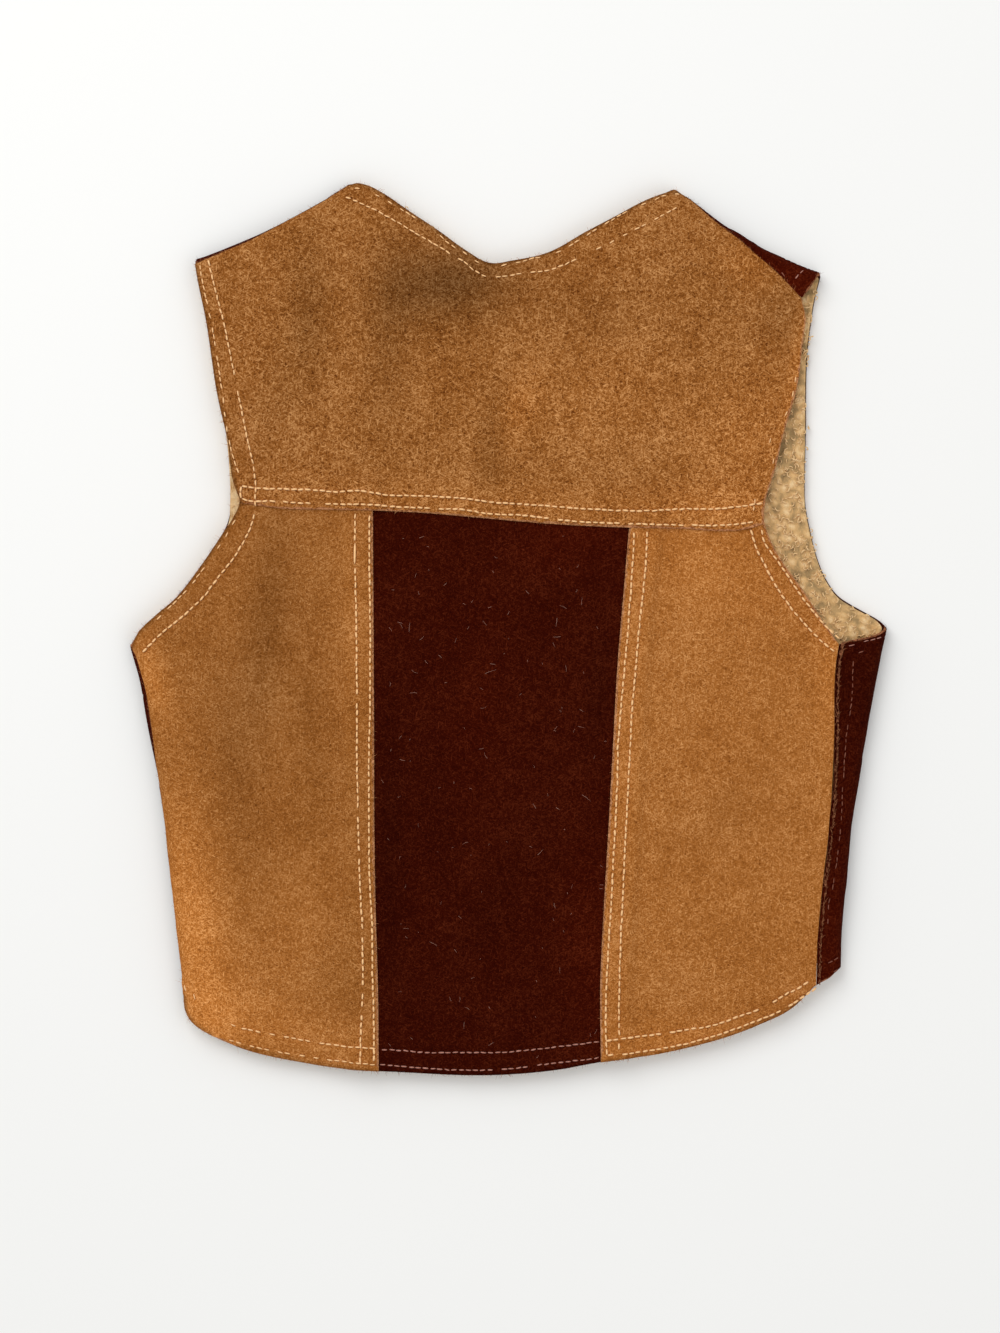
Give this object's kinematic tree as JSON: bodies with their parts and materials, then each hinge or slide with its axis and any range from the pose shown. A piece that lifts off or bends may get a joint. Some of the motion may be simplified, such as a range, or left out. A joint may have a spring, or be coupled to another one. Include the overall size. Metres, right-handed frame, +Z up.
{
  "type": "western vest laid flat",
  "caption": "Short sherpa-lined suede vest with a back yoke and panels, laid flat with its back up.",
  "frame": {"origin": "middle of the laid vest's box, on the surface that it lies on", "axes": "+Y towards the neck, +X to the right of someone who looks down at the back, +Z up from the surface"},
  "size_m": [0.3506, 0.41, 0.0157],
  "materials": {
    "tan_suede": "napped",
    "dark_brown_suede": "napped",
    "cream_sherpa": "curly pile"
  },
  "bodies": {
    "root": {"back_yoke": "tan_suede", "back_panel_left": "tan_suede", "back_panel_centre": "dark_brown_suede", "back_panel_right": "tan_suede", "front_left": "dark_brown_suede", "front_right": "dark_brown_suede", "lining_back": "cream_sherpa", "lining_front_left": "cream_sherpa", "lining_front_right": "cream_sherpa"}
  },
  "joints": []
}
